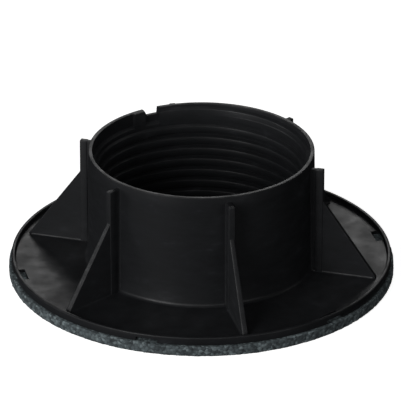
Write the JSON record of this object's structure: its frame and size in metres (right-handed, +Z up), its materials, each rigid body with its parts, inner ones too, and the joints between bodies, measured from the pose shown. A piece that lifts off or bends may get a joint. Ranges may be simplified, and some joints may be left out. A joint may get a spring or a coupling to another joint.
{
  "type": "raised floor pedestal base",
  "caption": "Round plastic pedestal base with an internally threaded collar, bracing gussets, drain slots and an upturned lip, on a rubber crumb pad.",
  "frame": {"origin": "centre of the pad's underside, on the floor", "axes": "+Z up along the axis of the threaded socket, which faces up; the six gussets stand round it, the first at 43.7 degrees from +X towards +Y"},
  "size_m": [0.2034, 0.2034, 0.0691],
  "materials": {
    "moulded_plastic": "satin",
    "rubber_crumb": "matte"
  },
  "bodies": {
    "root": {"pedestal_base": "moulded_plastic", "rubber_pad": "rubber_crumb"}
  },
  "joints": []
}
